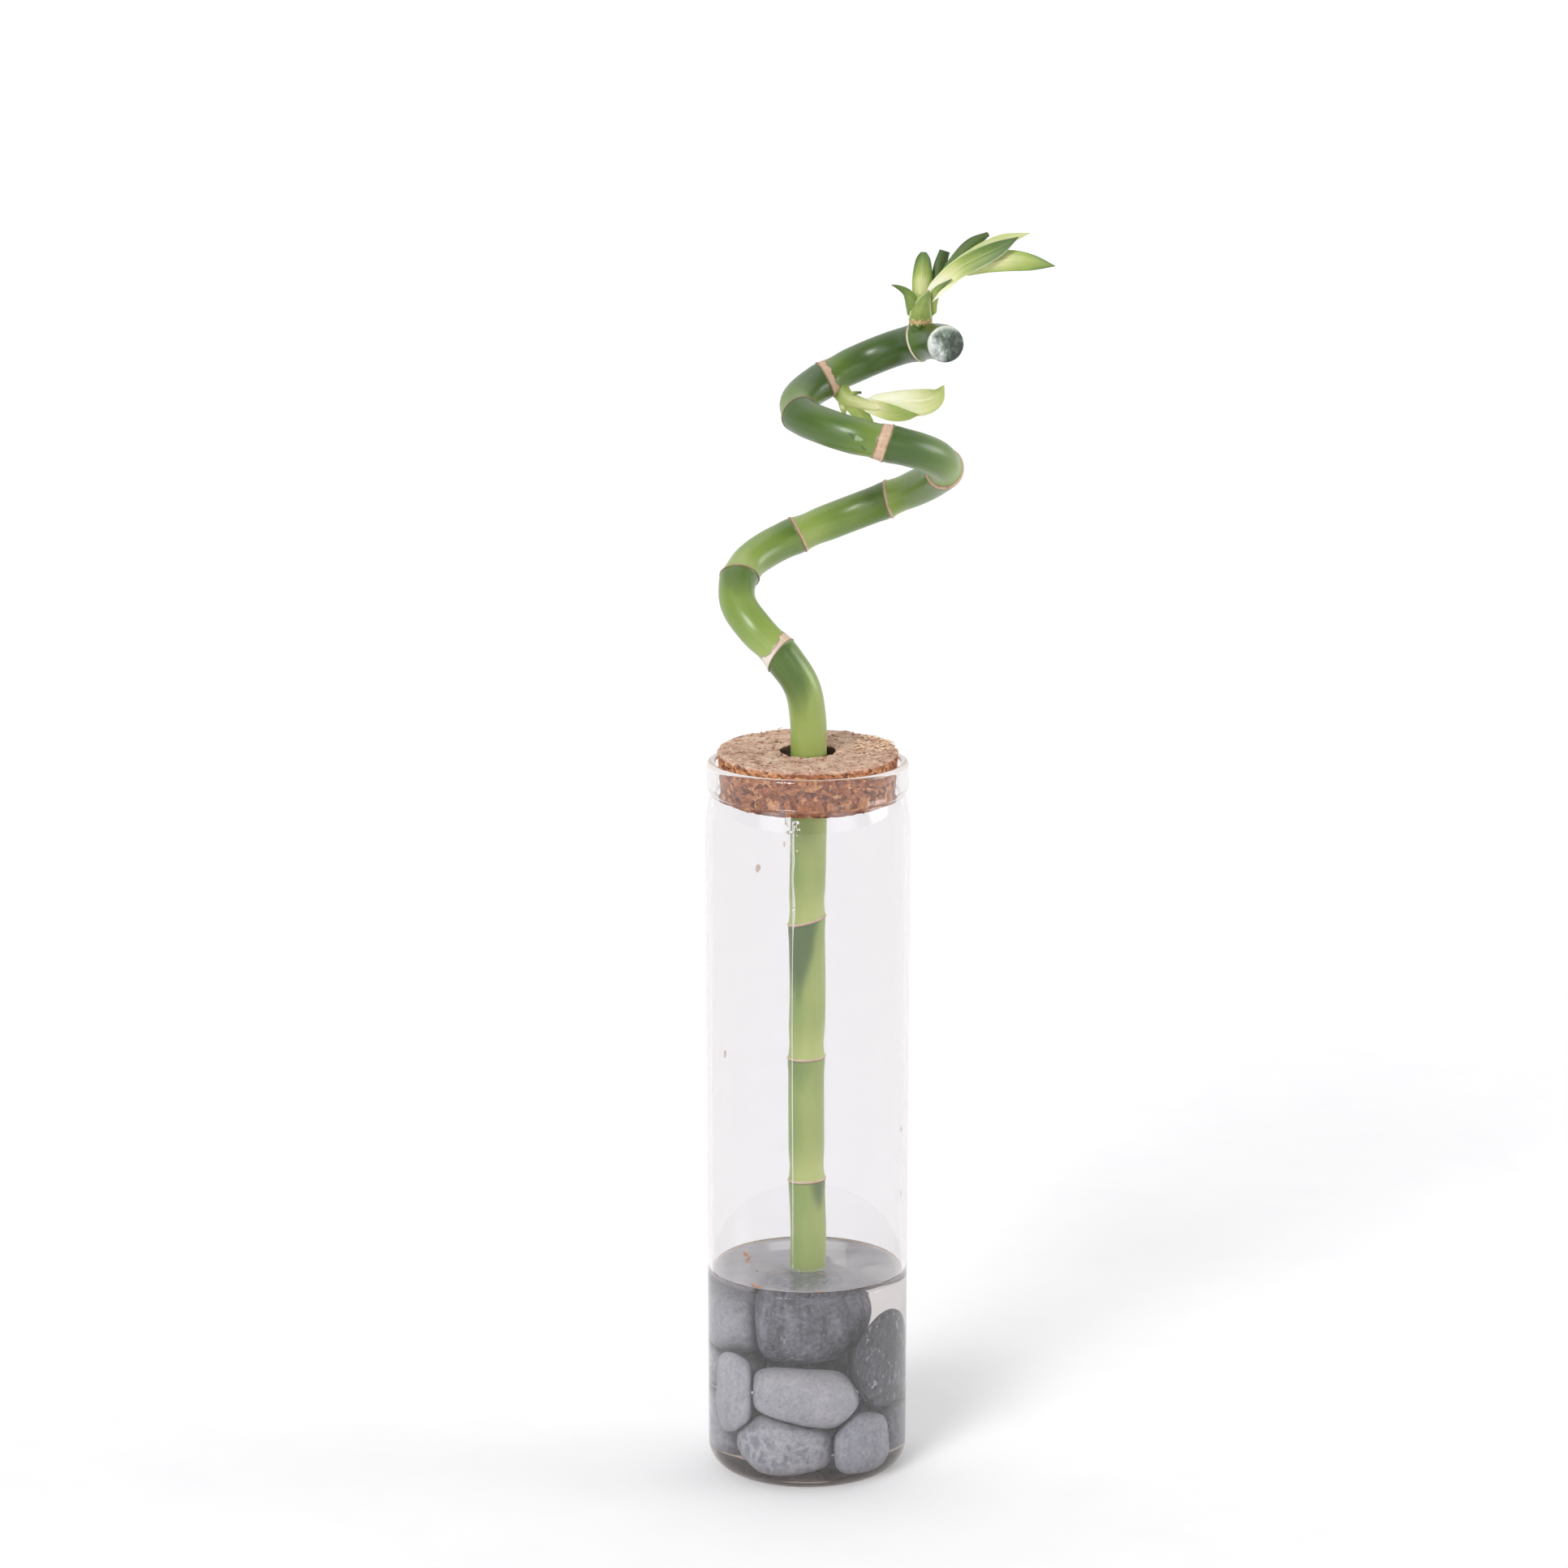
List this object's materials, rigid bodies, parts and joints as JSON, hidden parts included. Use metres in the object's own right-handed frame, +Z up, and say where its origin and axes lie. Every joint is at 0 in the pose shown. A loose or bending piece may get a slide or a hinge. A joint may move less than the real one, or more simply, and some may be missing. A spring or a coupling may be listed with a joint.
{
  "type": "lucky bamboo in glass vase",
  "caption": "Spiral lucky bamboo cane with two leafy shoots, held through a cork in a tall glass cylinder of water and river stones.",
  "frame": {"origin": "centre of the vase's flat base, on the surface it stands on", "axes": "+Z up along the vase, front of the plant faces -Y, +X to the right seen from the front"},
  "size_m": [0.1055, 0.0709, 0.382],
  "materials": {
    "glass": "clear, polished, fire-finished rim",
    "cork": "pressed cork, matt and crumbly",
    "cane": "smooth green cane, soft gloss, tan node rings",
    "leaf": "young leaf, pale base to dark green, satin",
    "water": "clear still water",
    "stone": "tumbled grey river stone, wet"
  },
  "bodies": {
    "root": {"vase": "glass", "cork": "cork", "cane": "cane", "shoot_upper": "leaf", "shoot_lower": "leaf", "water": "water", "stone_01": "stone", "stone_02": "stone", "stone_03": "stone", "stone_04": "stone", "stone_05": "stone", "stone_06": "stone", "stone_07": "stone", "stone_08": "stone", "stone_09": "stone", "stone_10": "stone", "stone_11": "stone", "stone_12": "stone", "stone_13": "stone", "stone_14": "stone", "stone_15": "stone", "stone_16": "stone", "stone_17": "stone"}
  },
  "joints": []
}
